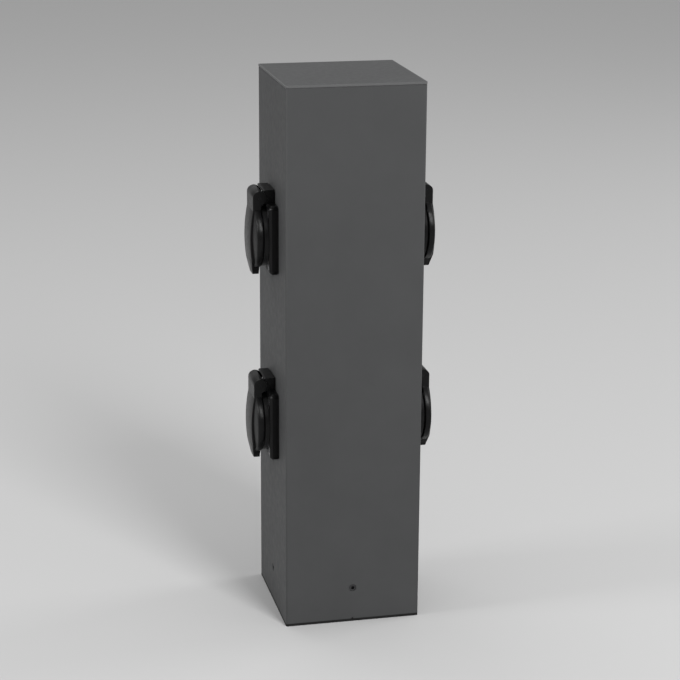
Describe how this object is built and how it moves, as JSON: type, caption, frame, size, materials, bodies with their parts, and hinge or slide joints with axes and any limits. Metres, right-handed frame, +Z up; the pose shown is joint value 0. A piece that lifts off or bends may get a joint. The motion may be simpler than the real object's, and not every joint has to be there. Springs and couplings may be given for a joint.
{
  "type": "garden socket post",
  "caption": "Square outdoor power post with lidded plug outlets on two opposite faces, bolted down and cabled from below.",
  "frame": {"origin": "centre of the footprint at ground level", "axes": "+Z up along the column; the outlets face -X and +X; -Y is the plain face towards the camera"},
  "size_m": [0.1362, 0.1004, 0.4],
  "materials": {
    "coat": "fine-textured satin powder coat",
    "moulding": "satin black moulding",
    "rubber": "matte",
    "grey_rubber": "matte",
    "black_steel": "black oxide, oiled",
    "screw_steel": "bright",
    "spring_steel": "bright",
    "zinc_plate": "zinc-plated",
    "brass": "bright",
    "tinned": "tinned",
    "carrier": "matte",
    "block": "matte",
    "wire_brown": "smooth",
    "wire_blue": "smooth",
    "wire_green": "smooth"
  },
  "bodies": {
    "post": {"column": "coat", "top_cap": "coat", "cap_seal": "grey_rubber", "base_plate": "zinc_plate", "foot_gasket": "rubber", "side_set_screws": "black_steel", "cable_grommet": "rubber", "terminal_bracket": "zinc_plate", "bracket_screws": "screw_steel", "terminal_block": "block", "terminal_clamps": "brass", "terminal_block_screws": "screw_steel", "earth_lug": "tinned", "line_wires": "wire_brown", "neutral_wires": "wire_blue", "earth_wires": "wire_green", "flange_screws": "screw_steel", "terminal_screws": "screw_steel", "carrier_screws": "screw_steel", "outlet_housing_left_upper": "moulding", "flange_gasket_left_upper": "rubber", "recess_floor_left_upper": "moulding", "contact_carrier_left_upper": "carrier", "pin_contacts_left_upper": "brass", "earth_clip_left_upper": "tinned", "hinge_pin_left_upper": "black_steel", "hinge_spring_left_upper": "spring_steel", "outlet_housing_left_lower": "moulding", "flange_gasket_left_lower": "rubber", "recess_floor_left_lower": "moulding", "contact_carrier_left_lower": "carrier", "pin_contacts_left_lower": "brass", "earth_clip_left_lower": "tinned", "hinge_pin_left_lower": "black_steel", "hinge_spring_left_lower": "spring_steel", "outlet_housing_right_upper": "moulding", "flange_gasket_right_upper": "rubber", "recess_floor_right_upper": "moulding", "contact_carrier_right_upper": "carrier", "pin_contacts_right_upper": "brass", "earth_clip_right_upper": "tinned", "hinge_pin_right_upper": "black_steel", "hinge_spring_right_upper": "spring_steel", "outlet_housing_right_lower": "moulding", "flange_gasket_right_lower": "rubber", "recess_floor_right_lower": "moulding", "contact_carrier_right_lower": "carrier", "pin_contacts_right_lower": "brass", "earth_clip_right_lower": "tinned", "hinge_pin_right_lower": "black_steel", "hinge_spring_right_lower": "spring_steel"},
    "left_upper_lid": {"lid_left_upper": "moulding", "lid_seal_left_upper": "rubber"},
    "left_lower_lid": {"lid_left_lower": "moulding", "lid_seal_left_lower": "rubber"},
    "right_upper_lid": {"lid_right_upper": "moulding", "lid_seal_right_upper": "rubber"},
    "right_lower_lid": {"lid_right_lower": "moulding", "lid_seal_right_lower": "rubber"}
  },
  "joints": [
    {"name": "hinge_left_upper", "type": "hinge", "parent": "post", "child": "left_upper_lid", "pos_m": [-0.061, 0, 0.3142], "axis": [0, 1, 0], "range_deg": [0, 100], "stiffness_Nm_per_rad": 0.023, "springref_deg": -49.85, "deforming": ["hinge_spring_left_upper"]},
    {"name": "hinge_left_lower", "type": "hinge", "parent": "post", "child": "left_lower_lid", "pos_m": [-0.061, 0, 0.1747], "axis": [0, 1, 0], "range_deg": [0, 100], "stiffness_Nm_per_rad": 0.023, "springref_deg": -49.85, "deforming": ["hinge_spring_left_lower"]},
    {"name": "hinge_right_upper", "type": "hinge", "parent": "post", "child": "right_upper_lid", "pos_m": [0.061, 0, 0.3142], "axis": [0, -1, 0], "range_deg": [0, 100], "stiffness_Nm_per_rad": 0.023, "springref_deg": -49.85, "deforming": ["hinge_spring_right_upper"]},
    {"name": "hinge_right_lower", "type": "hinge", "parent": "post", "child": "right_lower_lid", "pos_m": [0.061, 0, 0.1747], "axis": [0, -1, 0], "range_deg": [0, 100], "stiffness_Nm_per_rad": 0.023, "springref_deg": -49.85, "deforming": ["hinge_spring_right_lower"]}
  ]
}
